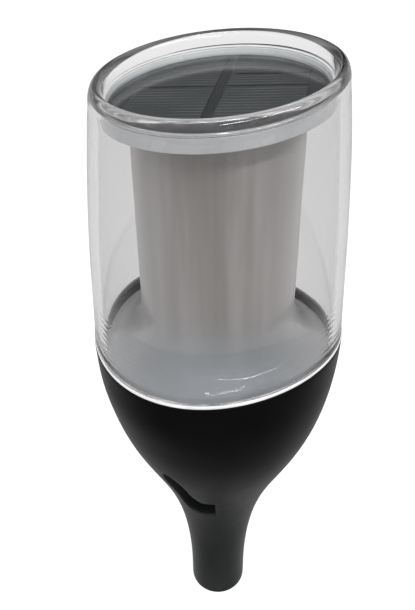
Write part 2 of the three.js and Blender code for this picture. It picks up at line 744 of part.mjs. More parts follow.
addPiece('main_board', mainBoard(), fibreBoard);
addPiece('control_chip', controlChip(), cellBlack);
addPiece('boost_coil', boostCoil(), cellBlack);
addPiece('board_header', boardHeader(), cellBlack);
addPiece('battery_holder', batteryHolder(), satinBlack);
addPiece('battery_cell', batteryCell(), greenSleeve);
addPiece('contact_spring', contactSpring(), steel);
addPiece('contact_plate', contactPlate(), steel);
addPiece('battery_wire_red', batteryWireRed(), redWire);
addPiece('battery_wire_black', batteryWireBlack(), blackWire);

addPiece('switch_body', switchBody(), satinBlack);
addPiece('switch_plunger', switchPlunger(), whitePlastic);
addPiece('switch_button', switchButton(), blackRubber);
addPiece('switch_wire_a', switchWire(-1), blackWire);
addPiece('switch_wire_b', switchWire(1), redWire);

export default light;
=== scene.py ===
"""Solar garden light head: clear slanted cup over a frosted tube, on a black tapering base."""
from math import asin, atan2, cos, hypot, pi, radians, sin, tan

import bmesh
import bpy
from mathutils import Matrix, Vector
from mathutils.geometry import delaunay_2d_cdt


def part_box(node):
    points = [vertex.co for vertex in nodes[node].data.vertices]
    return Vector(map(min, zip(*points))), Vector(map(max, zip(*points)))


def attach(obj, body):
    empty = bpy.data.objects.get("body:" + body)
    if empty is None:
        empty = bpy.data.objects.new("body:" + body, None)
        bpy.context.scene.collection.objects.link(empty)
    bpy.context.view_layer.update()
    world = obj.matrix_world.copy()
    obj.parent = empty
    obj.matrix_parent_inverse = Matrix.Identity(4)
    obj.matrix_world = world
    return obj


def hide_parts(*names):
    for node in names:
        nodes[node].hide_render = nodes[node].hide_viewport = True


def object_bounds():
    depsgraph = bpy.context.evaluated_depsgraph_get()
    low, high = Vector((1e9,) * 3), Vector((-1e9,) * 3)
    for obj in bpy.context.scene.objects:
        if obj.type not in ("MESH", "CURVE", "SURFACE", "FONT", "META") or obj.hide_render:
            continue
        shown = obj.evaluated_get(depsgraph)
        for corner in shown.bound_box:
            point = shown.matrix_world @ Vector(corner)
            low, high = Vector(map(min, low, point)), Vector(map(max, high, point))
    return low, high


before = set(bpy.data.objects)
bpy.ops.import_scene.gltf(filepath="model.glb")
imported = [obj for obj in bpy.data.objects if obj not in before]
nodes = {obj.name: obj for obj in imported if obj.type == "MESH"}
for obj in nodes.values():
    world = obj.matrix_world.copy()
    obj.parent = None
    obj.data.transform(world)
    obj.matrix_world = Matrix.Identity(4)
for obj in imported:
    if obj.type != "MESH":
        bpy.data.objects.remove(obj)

cad_low, cad_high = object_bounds()
MM = 0.001


def widest(node, below):
    """Greatest distance from the axis among a node's points under a height."""
    return max(hypot(v.co.x, v.co.y) for v in nodes[node].data.vertices if v.co.z < below)


# ---- sizes read from the frame ----
base_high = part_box("base_shell")[1]
tube_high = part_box("diffuser")[1]
gasket_low, gasket_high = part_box("cup_gasket")
board_low, board_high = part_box("panel_board")
button_low, button_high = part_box("switch_button")

GASKET_THICK = 1.6 * MM
BOARD_THICK = 1.0 * MM
NECK_STRAIGHT = 12 * MM
BELLY_R = base_high.x
JOINT_Z = base_high.z
NECK_R = widest("base_shell", NECK_STRAIGHT + 1 * MM)
JOINT_DIP = (gasket_high.z - gasket_low.z - GASKET_THICK) * (BELLY_R / gasket_high.y) ** 2
RIM_LEAN = (board_high.z - board_low.z - BOARD_THICK) / (board_high.y - board_low.y)

# Heights between which the joint's dip comes in and fades out, and the rim's lean comes in.
DIP_START_Z, DIP_FULL_Z = 165 * MM, 200 * MM
DIP_FADE_Z, DIP_END_Z = 222 * MM, 262 * MM
LEAN_START_Z, LEAN_FULL_Z = 235 * MM, 300 * MM

# ---- base ----
NECK_PULL = 113.5 * MM
BELLY_PULL = 89.3 * MM
WALL = 3 * MM
SOCKET_R = 13.4 * MM
SOCKET_DEPTH = 60 * MM
SOCKET_LOW_Z = 20 * MM
NECK_LOW_Z = 6 * MM
CAVITY_FLOOR_Z = 63 * MM
CAVITY_FLOOR_R = NECK_R - WALL + 1.5 * MM
CAVITY_WALL_Z = CAVITY_FLOOR_Z + 4 * MM
LAND_INNER_R = 54.6 * MM
LEDGE_R = 50.5 * MM
LEDGE_Z = JOINT_Z - 6 * MM
LEDGE_THICK = 3 * MM
INNER_TOP_Z = LEDGE_Z - LEDGE_THICK - 5 * MM
GROOVE_INNER_R = 56.1 * MM
GROOVE_OUTER_R = 57.7 * MM
GROOVE_Z = JOINT_Z - 3.6 * MM
TOP_CURVE_Z, TOP_EDGE_Z = JOINT_Z - 4 * MM, JOINT_Z - 3 * MM

# ---- opening in the neck: an upright slot whose foot turns into a short arm ----
OPENING_REF_R = 36 * MM
OPENING_LEFT, OPENING_RIGHT = 0.6 * MM, 22.3 * MM
OPENING_FLOOR, OPENING_TOP = 95 * MM, 144 * MM
OPENING_LEG, OPENING_LIP = 9.6 * MM, 113.5 * MM
OPENING_BACK_R = 18.5 * MM
BUTTON_HOLE_R = 3.9 * MM
POCKET_WALL = 2 * MM
BAND_LOW, BAND_HIGH = 88 * MM, 152 * MM
BAND_STEP = 1.6 * MM
EDGE_MARGIN = 0.9 * MM
OUTLINE_SMOOTHINGS = 3
POCKET_DEPTHS = (0.25, 0.6, 1.0)

# ---- clear cup ----
CUP_FOOT_R = 58.9 * MM
CUP_FOOT_Z = JOINT_Z + 1.8 * MM
CUP_LOW_PULL = (57.6 * MM, 218 * MM)
CUP_HIGH_PULL = (56.4 * MM, 275 * MM)
LIP_R = 46.6 * MM
LIP_HALF_WIDTH = 3.1 * MM
LIP_HEIGHT = 6.2 * MM
LIP_ARC = radians(176)
LIP_FOOT_Z = 318 * MM
BORE_FOOT_R = 54.7 * MM
BORE = (
    (44.4 * MM, LIP_FOOT_Z + 0.25 * MM),
    (45.1 * MM, LIP_FOOT_Z),
    (45.45 * MM, LIP_FOOT_Z - 1.5 * MM),
    (48.2 * MM, 295.4 * MM),
    (51 * MM, 265.4 * MM),
    (53 * MM, 237.4 * MM),
    (BORE_FOOT_R, JOINT_Z + 0.3 * MM),
)
TONGUE_INNER_R, TONGUE_OUTER_R = 56.3 * MM, 57.5 * MM
TONGUE_Z = JOINT_Z - 3.3 * MM
CUP_SEAT_Z = JOINT_Z + 0.2 * MM
RINGS_LOW_Z = JOINT_Z + 2.5 * MM
RINGS_TOP_Z = RINGS_LOW_Z + 22.4 * MM
RING_PITCH = 2.8 * MM
RING_DEPTH = 0.012 * MM
RING_STEP = 0.4 * MM

# ---- gasket, tube and dish ----
GASKET_INNER_R = 57.85 * MM
GASKET_LOW_Z, GASKET_TOP_Z = JOINT_Z + 0.1 * MM, JOINT_Z + GASKET_THICK
TUBE_R = 35.7 * MM
TUBE_WALL = 1.4 * MM
TUBE_MID_R, TUBE_MID_Z = TUBE_R - 0.3 * MM, 270 * MM
TUBE_TOP_R, TUBE_TOP_Z = TUBE_R - 0.6 * MM, 311.6 * MM
TUBE_TOP_BORE_R = TUBE_R - 0.2 * MM - TUBE_WALL
FLARE_TOP_Z = 227 * MM
DISH_R = tube_high.x
DISH_THICK = 1.7 * MM
DISH_TOP_Z = 204.9 * MM

# ---- tray, seal and cells ----
TRAY_HOLE_R = 5 * MM
TRAY_INNER_R, TRAY_OUTER_R = 43.1 * MM, 44.8 * MM
TRAY_FLOOR_Z, TRAY_TOP_Z = 311.9 * MM, 317.4 * MM
TRAY_THICK = 1.2 * MM
SPIGOT_ROOT_R, SPIGOT_OUTER_R, SPIGOT_INNER_R = 33.9 * MM, 33.6 * MM, 32.3 * MM
SPIGOT_Z = TRAY_FLOOR_Z - 8 * MM
SEAL_INNER_R, SEAL_OUTER_R = 43.3 * MM, 44.7 * MM
SEAL_LOW_Z, SEAL_TOP_Z = 317.5 * MM, 318 * MM
PANEL_TURN = radians(27.5)
FINGER_PITCH = 2.6 * MM
FINGER_SHARE = 0.16
LONG_LINE, SHORT_LINE, SHORT_LINE_START = 5.8 * MM, 18.5 * MM, 4 * MM
LINE_HALF_WIDTH = 0.5 * MM

# ---- roundings and steps of the meshes ----
SEGMENTS = 180
EDGE = 0.35 * MM
NECK_ROUND = 0.8 * MM
LIP_ROUND = 0.8 * MM
SHARP_TURN = radians(18)
SIDE_SHARE = 0.4
CORNER_STEPS = 4
WALL_STEP, TOP_STEP, DISC_STEP = 3 * MM, 2 * MM, 4 * MM
WELD = 0.002 * MM
SHORTEST_EDGE = 0.0001 * MM

# ---- camera ----
CAMERA_AZIMUTH = 38.0
CAMERA_REACH = 236.8 * MM
CAMERA_RISE = 167.4 * MM
CAMERA_PITCH = 34.1
SENSOR = 36.0
LENS = 35.41
SIDE_SHIFT = -0.0172
TOWARDS_CAMERA = (sin(radians(CAMERA_AZIMUTH)), -cos(radians(CAMERA_AZIMUTH)), 0.0)

# ---- colours, as linear light ----
# the base's two blacks carry painted light: painted shade in the bowl, a paler painted sheen at the neck
BELLY_SHADE_BLACK, NECK_SHEEN_BLACK = (0.0025, 0.0026, 0.0025), (0.019, 0.020, 0.0205)
TUBE_DARK, TUBE_GREY, TUBE_PALE = (0.212, 0.199, 0.186), (0.262, 0.248, 0.232), (0.34, 0.325, 0.31)
# the paler tube colour at the end of the next line is a painted sheen for where the tube is seen edge-on
TUBE_PINK, TUBE_EDGE_SHEEN = (0.30, 0.235, 0.235), (0.56, 0.545, 0.53)
DISH_DARK, DISH_PALE = (0.225, 0.252, 0.265), (0.345, 0.378, 0.398)
SILICONE_DARK, SILICONE_PALE = (0.60, 0.61, 0.62), (0.74, 0.74, 0.74)
WHITE_DARK, WHITE_PALE = (0.50, 0.515, 0.52), (0.60, 0.61, 0.61)
CELL_DARK, CELL_PALE = (0.048, 0.049, 0.047), (0.064, 0.065, 0.064)
FINGER_GREY, LINE_BLACK = (0.17, 0.173, 0.17), (0.012, 0.012, 0.012)
CUP_TINT, COVER_TINT = (0.875, 0.873, 0.876), (0.93, 0.94, 0.95)
# colour of the painted glow in the clear cup's wall
PAINTED_GLOW_WHITE = (1.0, 0.985, 0.97)

# ---- heights between which a material changes ----
# the base's painted shade and sheen grade between the first and last of these heights, its gloss from the
# second
NECK_TONE_Z, NECK_GLOSS_Z, BELLY_TONE_Z = 20 * MM, 60 * MM, 190 * MM
DISH_TONE_Z, TUBE_TONE_Z = 204 * MM, 238 * MM

# ---- how light crosses the clear plastic, and how deep a ray goes before the clear wall shows its painted glow ----
SHADOW_TINT = 1.3
GLOW_RAY_DEPTH = 5.5

# ---- brightness of the room, and where it changes: part of the way up, and away from the camera ----
ROOM_STRENGTH = 0.85
BACKDROP = 0.95
WALLS = 0.72
CEILING, MIRRORED_CEILING = 1.3, 4.0
DIM_PATCH = 0.05
LOW_FRONT, LOW_BACK = 0.03, 0.75
HORIZON, WALL_TO_CEILING = (-0.06, 0.06), (0.25, 0.95)
PATCH_FOOT, PATCH_TOP, PATCH_SIDES = (0.2, 0.3), (0.58, 0.72), (0.55, 0.8)
FRONT_TO_BACK = (-0.3, 0.7)


# ---- curves ----
def smoothstep(low, high, value):
    t = min(max((value - low) / (high - low), 0.0), 1.0)
    return t * t * (3 - 2 * t)


def bezier(controls, steps):
    """Cubic curve with four control points."""
    curve = []
    for i in range(steps + 1):
        t = i / steps
        weights = ((1 - t) ** 3, 3 * t * (1 - t) ** 2, 3 * t * t * (1 - t), t ** 3)
        curve.append(tuple(sum(w * p[k] for w, p in zip(weights, controls)) for k in (0, 1)))
    return curve


def through(points, steps):
    """Smooth open curve through the points (Catmull-Rom)."""
    ends = [points[0], *points, points[-1]]
    curve = []
    for a, b, c, d in zip(ends, ends[1:], ends[2:], ends[3:]):
        for i in range(steps):
            t = i / steps
            curve.append(tuple(
                0.5 * (2 * q + (r - p) * t + (2 * p - 5 * q + 4 * r - s) * t * t
                       + (3 * q - p - 3 * r + s) * t ** 3)
                for p, q, r, s in zip(a, b, c, d)))
    return [*curve, points[-1]]


def soften(points, radius=EDGE, loop=True):
    """Rounds the sharp corners of a section outline."""
    count = len(points)
    result = []
    for i, point in enumerate(points):
        if not loop and i in (0, count - 1):
            result.append(point)
            continue
        here = Vector(point)
        back = Vector(points[i - 1]) - here
        ahead = Vector(points[(i + 1) % count]) - here
        turn = back.angle(-ahead)
        if turn < SHARP_TURN:
            result.append(point)
            continue
        cut = min(radius * tan(turn / 2), back.length * SIDE_SHARE, ahead.length * SIDE_SHARE)
        start = here + back.normalized() * cut
        end = here + ahead.normalized() * cut
        for k in range(CORNER_STEPS + 1):
            t = k / CORNER_STEPS
            result.append(tuple(start * (1 - t) ** 2 + here * 2 * t * (1 - t) + end * t * t))
    return result


def radius_at(curve, height):
    """Radius of a rising curve of (radius, height) points at a height."""
    for (r0, z0), (r1, z1) in zip(curve, curve[1:]):
        if z0 <= height <= z1:
            return r0 + (r1 - r0) * (height - z0) / (z1 - z0)
    return curve[0][0] if height < curve[0][1] else curve[-1][0]


def heights(low, high, step):
    count = max(1, round((high - low) / step))
    return [low + (high - low) * i / count for i in range(count + 1)]


def on_curve(curve, levels):
    return [(radius_at(curve, z), z) for z in levels]


def slant(point):
    """The joint dips at front and back; the rim, panel and tray lean towards the front."""
    dip_in = smoothstep(DIP_START_Z, DIP_FULL_Z, point.z)
    dip_out = smoothstep(DIP_FADE_Z, DIP_END_Z, point.z)
    dip = JOINT_DIP * (point.y / BELLY_R) ** 2 * dip_in * (1 - dip_out)
    lean = RIM_LEAN * point.y * smoothstep(LEAN_START_Z, LEAN_FULL_Z, point.z)
    return Vector((point.x, point.y, point.z + lean - dip))


# ---- mesh building ----
class Skin:
    """Points and faces gathered from several surfaces, then welded into one mesh."""

    def __init__(self):
        self.points = []
        self.faces = []

    def add(self, points, faces):
        start = len(self.points)
        self.points.extend(points)
        self.faces.extend([tuple(start + i for i in face) for face in faces])

    def spin(self, section, loop=False):
        """Turns a section of (radius, height) points about the axis."""
        points = []
        for k in range(SEGMENTS):
            angle = 2 * pi * k / SEGMENTS - pi / 2
            points.extend([Vector((r * cos(angle), r * sin(angle), z)) for r, z in section])
        size = len(section)
        spans = size if loop else size - 1
        faces = []
        for k in range(SEGMENTS):
            here, there = k * size, ((k + 1) % SEGMENTS) * size
            for i in range(spans):
                j = (i + 1) % size
                faces.append((here + i, there + i, there + j, here + j))
        self.add(points, faces)

    def bridge(self, first, second):
        """Joins two closed rings of equal length."""
        count = len(first)
        faces = [(i, (i + 1) % count, count + (i + 1) % count, count + i) for i in range(count)]
        self.add([*first, *second], faces)

    def build(self, name, node, body, material):
        """Welds the surfaces, slants them and lets the piece stand for its node."""
        mesh = bpy.data.meshes.new(name)
        mesh.from_pydata([slant(p) for p in self.points], [], self.faces)
        work = bmesh.new()
        work.from_mesh(mesh)
        bmesh.ops.remove_doubles(work, verts=work.verts, dist=WELD)
        bmesh.ops.dissolve_degenerate(work, edges=work.edges, dist=SHORTEST_EDGE)
        bmesh.ops.recalc_face_normals(work, faces=work.faces)
        for face in work.faces:
            face.smooth = True
        work.to_mesh(mesh)
        work.free()
        piece = bpy.data.objects.new(name, mesh)
        bpy.context.scene.collection.objects.link(piece)
        mesh.materials.append(material)
        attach(piece, body)
        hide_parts(node)


def turned(name, node, section, body, material, loop=True):
    skin = Skin()
    skin.spin(section, loop)
    skin.build(name, node, body, material)


# ---- materials ----
class Nodes:
    """Short ways to add and join shader nodes."""

    def __init__(self, tree):
        self.tree = tree

    def set(self, socket, value):
        """Links a node's output to a socket, or gives the socket a plain value."""
        if isinstance(value, bpy.types.NodeSocket):
            self.tree.links.new(value, socket)
        elif socket.type == "RGBA":
            socket.default_value = (*value, 1.0)
        else:
            socket.default_value = value

    def node(self, kind, inputs=None, **settings):
        made = self.tree.nodes.new("ShaderNode" + kind)
        for key, value in settings.items():
            setattr(made, key, value)
        for key, value in (inputs or {}).items():
            self.set(made.inputs[key], value)
        return made

    def maths(self, operation, first, second=0.0):
        return self.node("Math", {0: first, 1: second}, operation=operation).outputs[0]

    def dot(self, first, second):
        return self.node("VectorMath", {0: first, 1: second}, operation="DOT_PRODUCT").outputs["Value"]

    def split(self, place):
        return self.node("SeparateXYZ", {"Vector": place}).outputs

    def scaled(self, value, low, high, from_low=0.0, from_high=1.0, kind="LINEAR"):
        """Spreads a value from one range to another, and holds it at the ends."""
        made = self.node("MapRange", {"Value": value, "From Min": from_low, "From Max": from_high,
                                      "To Min": low, "To Max": high}, interpolation_type=kind)
        return made.outputs["Result"]

    def mix(self, share, first, second, blend="MIX"):
        made = self.node("Mix", data_type="RGBA", blend_type=blend)
        for index, value in ((0, share), (6, first), (7, second)):
            self.set(made.inputs[index], value)
        return made.outputs[2]

    def mix_shaders(self, share, first, second):
        return self.node("MixShader", {0: share, 1: first, 2: second}).outputs[0]


class Finish(Nodes):
    """A node material with the usual textures."""

    def __init__(self, name):
        self.material = bpy.data.materials.new(name)
        self.material.use_nodes = True
        super().__init__(self.material.node_tree)
        self.shader = self.tree.nodes["Principled BSDF"]
        self.output = self.tree.nodes["Material Output"]
        self.place = self.node("TexCoord").outputs["Object"]

    def stretch(self, x, y, z):
        return self.node("Mapping", {"Vector": self.place, "Scale": (x, y, z)}).outputs["Vector"]

    def noise(self, scale, detail=3.0, vector=None, rough=0.5):
        made = self.node("TexNoise", {"Scale": scale, "Detail": detail, "Roughness": rough,
                                      "Vector": vector or self.place})
        return made.outputs["Fac"]

    def ramp(self, value, *stops):
        made = self.node("ValToRGB", {"Fac": value})
        band = made.color_ramp
        while len(band.elements) < len(stops):
            band.elements.new(0.5)
        for element, (place, colour) in zip(band.elements, stops):
            element.position = place
            element.color = (*colour, 1.0)
        return made.outputs["Color"]

    def bumps(self, height, distance, strength=1.0):
        made = self.node("Bump", {"Height": height, "Distance": distance, "Strength": strength})
        return made.outputs["Normal"]

    def surface(self, **values):
        for key, value in values.items():
            self.set(self.shader.inputs[key.replace("_", " ")], value)


def moulded(name, colour, roughness=0.4, variation=0.12, grain=900.0, depth=0.02 * MM, **more):
    """Moulded plastic: slightly uneven colour and gloss over a fine grain."""
    made = Finish(name)
    dark = tuple(c * (1 - variation) for c in colour)
    light = tuple(min(c * (1 + variation), 1.0) for c in colour)
    made.surface(Base_Color=made.ramp(made.noise(35.0, 4.0), (0.3, dark), (0.7, light)),
                 Roughness=made.scaled(made.noise(140.0), roughness * 0.85, roughness * 1.15),
                 Normal=made.bumps(made.noise(grain, 2.0), depth), **more)
    return made.material


def metal(name, colour, roughness, grain):
    return moulded(name, colour, roughness, 0.08, grain, 0.01 * MM, Metallic=1.0)


def satin_black():
    """Fine-grained black, less shiny in the bowl than in the neck, with painted shade that darkens the
    bowl and a painted sheen that lightens the neck.
    """
    made = Finish("satin_black_plastic")
    height = made.split(made.place)["Z"]
    # painted shade and sheen: darker in the bowl, lighter towards the neck
    towards_neck = made.scaled(height, 1.0, 0.0, NECK_TONE_Z, BELLY_TONE_Z)
    colour = made.mix(towards_neck, BELLY_SHADE_BLACK, NECK_SHEEN_BLACK)
    patches = made.ramp(made.noise(28.0, 5.0), (0.35, (0.75, 0.75, 0.75)), (0.7, (1.2, 1.2, 1.2)))
    made.surface(Base_Color=made.mix(1.0, colour, patches, "MULTIPLY"),
                 Roughness=made.scaled(made.noise(90.0, 4.0), 0.33, 0.43),
                 IOR=1.45,
                 Specular_IOR_Level=made.scaled(height, 0.5, 0.15, NECK_GLOSS_Z, BELLY_TONE_Z),
                 Normal=made.bumps(made.noise(1500.0, 2.0), 0.03 * MM, 0.35))
    return made.material


def painted_wall_glow(made, painted_glow):
    """Painted glow in a clear wall: streaky, and stronger on the side that faces the camera, an emission
    that stands in for the wall's lit front and highlights.
    """
    streaks = made.scaled(made.noise(75.0, 3.0, made.stretch(1.0, 1.0, 0.3)), 0.3, 1.6, 0.36, 0.66)
    # painted light: the glow is brighter on the side towards the camera
    near = made.scaled(made.dot(made.place, TOWARDS_CAMERA), 0.7 * painted_glow, 2.6 * painted_glow, -30 * MM, 40 * MM)
    strength = made.maths("MULTIPLY", streaks, near)
    return made.node("Emission", {"Color": PAINTED_GLOW_WHITE, "Strength": strength}).outputs[0]


def clear(name, tint, ior=1.49, roughness=0.0, wave=0.0, painted_glow=0.0):
    """Clear moulding. Light for the parts inside passes straight through it. With a painted glow set, rays
    that have gone many bounces deep end as a faint painted glow, an emission that stands in for light and
    highlights in the wall."""
    made = Finish(name)
    made.tree.nodes.remove(made.shader)
    glass = made.node("BsdfGlass", {"Color": tint, "Roughness": roughness, "IOR": ior})
    if wave:
        swell = made.noise(38.0, 2.0, made.stretch(1.0, 1.0, 0.35))
        made.set(glass.inputs["Normal"], made.bumps(swell, wave))
    path = made.node("LightPath").outputs
    body = glass.outputs[0]
    if painted_glow:
        # painted glow: rays that have gone many bounces deep end in an emission instead of the clear
        # plastic
        glow_rays = made.maths("GREATER_THAN", path["Ray Depth"], GLOW_RAY_DEPTH)
        body = made.mix_shaders(glow_rays, body, painted_wall_glow(made, painted_glow))
    passing = made.node("BsdfTransparent", {"Color": tuple(c ** SHADOW_TINT for c in tint)})
    straight = made.maths("MAXIMUM", path["Is Shadow Ray"], path["Is Diffuse Ray"])
    made.set(made.output.inputs["Surface"], made.mix_shaders(straight, body, passing.outputs[0]))
    return made.material


def frosted():
    """Frosted tube, warm grey and streaked, that turns cooler and glossier down in the dish, with a
    painted sheen that makes it paler where it is seen edge-on.
    """
    made = Finish("frosted_plastic")
    streaks = made.noise(60.0, 3.0, made.stretch(1.0, 1.0, 0.07), 0.6)
    tube = made.ramp(streaks, (0.36, TUBE_DARK), (0.5, TUBE_GREY), (0.64, TUBE_PALE))
    pink = made.scaled(made.noise(22.0, 2.0, made.stretch(1.0, 1.0, 0.5)), 0.0, 0.35, 0.55, 0.75)
    tube = made.mix(pink, tube, TUBE_PINK)
    dish = made.ramp(made.noise(16.0), (0.36, DISH_DARK), (0.64, DISH_PALE))
    height = made.split(made.place)["Z"]
    low = made.scaled(height, 1.0, 0.0, DISH_TONE_Z, TUBE_TONE_Z, "SMOOTHSTEP")
    colour = made.mix(low, tube, dish)
    # painted sheen: the colour turns paler where the tube is seen edge-on
    edge = made.node("LayerWeight", {"Blend": 0.5}).outputs["Facing"]
    made.surface(Base_Color=made.mix(made.scaled(edge, 0.0, 0.75, 0.1, 0.75), colour, TUBE_EDGE_SHEEN),
                 Roughness=0.36,
                 Specular_IOR_Level=made.scaled(low, 0.5, 0.1),
                 Normal=made.bumps(made.noise(85.0, 2.5), 0.05 * MM, 0.6),
                 Coat_Weight=low,
                 Coat_Roughness=0.0,
                 Coat_IOR=1.9,
                 Coat_Normal=made.bumps(made.noise(70.0, 2.0), 0.16 * MM))
    return made.material


def silicone():
    made = Finish("pale_silicone")
    made.surface(Base_Color=made.ramp(made.noise(120.0), (0.3, SILICONE_DARK), (0.7, SILICONE_PALE)),
                 Roughness=0.3,
                 IOR=1.42,
                 Normal=made.bumps(made.noise(700.0, 2.0), 0.02 * MM, 0.5))
    return made.material


def white_gloss():
    made = Finish("white_plastic")
    made.surface(Base_Color=made.ramp(made.noise(45.0, 4.0), (0.3, WHITE_DARK), (0.7, WHITE_PALE)),
                 Roughness=made.scaled(made.noise(100.0), 0.22, 0.32),
                 Normal=made.bumps(made.noise(60.0, 2.0), 0.08 * MM, 0.4))
    return made.material


def near_line(made, place, line):
    """1 within a narrow stripe about the line, 0 elsewhere."""
    distance = made.maths("ABSOLUTE", made.maths("SUBTRACT", place, line))
    return made.maths("LESS_THAN", distance, LINE_HALF_WIDTH)


def silicon():
    """Dark cells with fine pale fingers across them and two stronger dark lines."""
    made = Finish("solar_cell")
    squared = made.node("Mapping", {"Vector": made.place, "Rotation": (0.0, 0.0, -PANEL_TURN)})
    apart = made.split(squared.outputs["Vector"])
    across, along = apart["X"], apart["Y"]
    cycle = made.maths("FRACT", made.maths("MULTIPLY", along, 1 / FINGER_PITCH))
    finger = made.maths("LESS_THAN", cycle, FINGER_SHARE)
    faint = made.scaled(made.noise(55.0, 2.0), 0.25, 1.0, 0.35, 0.65)
    body = made.ramp(made.noise(26.0, 4.0), (0.3, CELL_DARK), (0.75, CELL_PALE))
    lined = made.mix(made.maths("MULTIPLY", finger, faint), body, FINGER_GREY)
    short = made.maths("GREATER_THAN", across, SHORT_LINE_START)
    second = made.maths("MULTIPLY", near_line(made, along, SHORT_LINE), short)
    lines = made.maths("MAXIMUM", near_line(made, along, LONG_LINE), second)
    made.surface(Base_Color=made.mix(lines, lined, LINE_BLACK),
                 Roughness=0.35,
                 Specular_IOR_Level=0.05,
                 Normal=made.bumps(made.noise(900.0, 2.0), 0.01 * MM, 0.4))
    return made.material


black_shell = satin_black()
# the cup's wall carries a painted glow, brighter at the front, for its highlights
cup_finish = clear("clear_plastic", CUP_TINT, wave=0.05 * MM, painted_glow=0.42)
cover_finish = clear("panel_cover", COVER_TINT, ior=1.16, roughness=0.04)
frost = frosted()
silicone_finish = silicone()
tray_white = white_gloss()
cell_finish = silicon()
board_finish = moulded("circuit_board", (0.02, 0.10, 0.055), 0.35, 0.15, 600.0)
backing_finish = moulded("panel_backing", (0.028, 0.029, 0.029), 0.35, 0.2, 600.0)


# ---- base ----
def bowl():
    """Outer curve of the base from the neck to the joint."""
    return bezier(((NECK_R, NECK_STRAIGHT), (NECK_R, NECK_STRAIGHT + NECK_PULL),
                   (BELLY_R, JOINT_Z - BELLY_PULL), (BELLY_R, JOINT_Z)), steps=240)


def inside_bowl():
    """The same curve moved in along its normal by the wall."""
    outer = bowl()
    inner = []
    for before, here, after in zip(outer, outer[1:], outer[2:]):
        dr, dz = after[0] - before[0], after[1] - before[1]
        length = hypot(dr, dz)
        inner.append((here[0] - WALL * dz / length, here[1] + WALL * dr / length))
    return inner


OUTER = bowl()
INNER = inside_bowl()


def opening_outline(grow=0.0):
    """Outline of the neck opening as (distance round the neck, height), grown by a margin."""
    left, right = OPENING_LEFT - grow, OPENING_RIGHT + grow
    floor, top = OPENING_FLOOR - grow, OPENING_TOP + grow
    leg, lip = OPENING_LEG + grow, OPENING_LIP + grow

    def near(across, right_mm, height, up_mm):
        return (across + right_mm * MM, height + up_mm * MM)

    # Curves one after another, each with its pull point, its end and its number of steps.
    curves = (
        (near(left, 15, floor, 0.4), near(left, 9, floor, 0), 16),
        (near(left, 0, floor, 1), near(left, 0, floor, 11), 18),
        (near(left, 0, floor, 26), near(left, 0, top, -8), 34),
        (near(left, 1, top, 0), near(left, 4, top, 0), 12),
        (near(leg, -2, top, -2), near(leg, 0, top, -14), 20),
        (near(leg, 0.6, lip, 1), near(leg, 6, lip, -1), 26),
        (near(leg, 9, lip, -0.4), (right, lip), 10),
        ((right, (lip + floor) / 2), near(right, 0, floor, 1), 22),
    )
    points = []
    start = curves[-1][1]
    for pull, end, steps in curves:
        for i in range(steps):
            t = i / steps
            points.append(tuple((1 - t) ** 2 * a + 2 * t * (1 - t) * b + t * t * c
                                for a, b, c in zip(start, pull, end)))
        start = end
    for _ in range(OUTLINE_SMOOTHINGS):
        trios = zip([points[-1], *points[:-1]], points, [*points[1:], points[0]])
        points = [tuple((a + 2 * b + c) / 4 for a, b, c in zip(*trio)) for trio in trios]
    return points


def inside(point, outline):
    """Whether a point lies inside a closed outline."""
    x, y = point
    crossings = False
    for (x0, y0), (x1, y1) in zip(outline, outline[1:] + outline[:1]):
        if (y0 > y) != (y1 > y) and x < (x1 - x0) * (y - y0) / (y1 - y0) + x0:
            crossings = not crossings
    return crossings


def round_neck(across, height, radius):
    """Point at a distance round the neck, a height and a radius."""
    angle = across / OPENING_REF_R - pi / 2
    return Vector((radius * cos(angle), radius * sin(angle), height))


def centre_of(points):
    return tuple(sum(p[k] for p in points) / len(points) for k in (0, 1))


def fill(points, loops, keep):
    """Triangles over flat points that respect the closed loops; keep() chooses them by their centre."""
    edges = []
    for start, count in loops:
        edges.extend([(start + i, start + (i + 1) % count) for i in range(count)])
    made, _, faces, *_ = delaunay_2d_cdt([Vector(p) for p in points], edges, [], 0, 1e-9)
    places = [tuple(p) for p in made]
    chosen = [tuple(f) for f in faces if keep(centre_of([places[i] for i in f]))]
    return places, chosen


def band_with_opening(skin, curve, edge_ring, guard_ring):
    """The band of wall that the opening is cut in, up to the opening's edge ring. The grid's points
    stay outside the guard ring."""
    across_limit = pi * OPENING_REF_R
    columns = [across_limit * (2 * k / SEGMENTS - 1) for k in range(SEGMENTS + 1)]
    points = []
    for height in heights(BAND_LOW, BAND_HIGH, BAND_STEP):
        points.extend([(across, height) for across in columns if not inside((across, height), guard_ring)])
    start = len(points)
    points.extend(edge_ring)
    places, faces = fill(points, [(start, len(edge_ring))], lambda c: not inside(c, edge_ring))
    skin.add([round_neck(a, h, radius_at(curve, h)) for a, h in places], faces)


def button_ring(radius_from_axis, steps=32):
    """Edge of the button's hole, as (distance round the neck, height)."""
    centre = (button_low + button_high) / 2
    middle = atan2(centre.y, centre.x) + pi / 2
    ring = []
    for k in range(steps):
        angle = 2 * pi * k / steps
        turn = asin(BUTTON_HOLE_R * cos(angle) / radius_from_axis)
        ring.append(((middle + turn) * OPENING_REF_R, centre.z + BUTTON_HOLE_R * sin(angle)))
    return ring


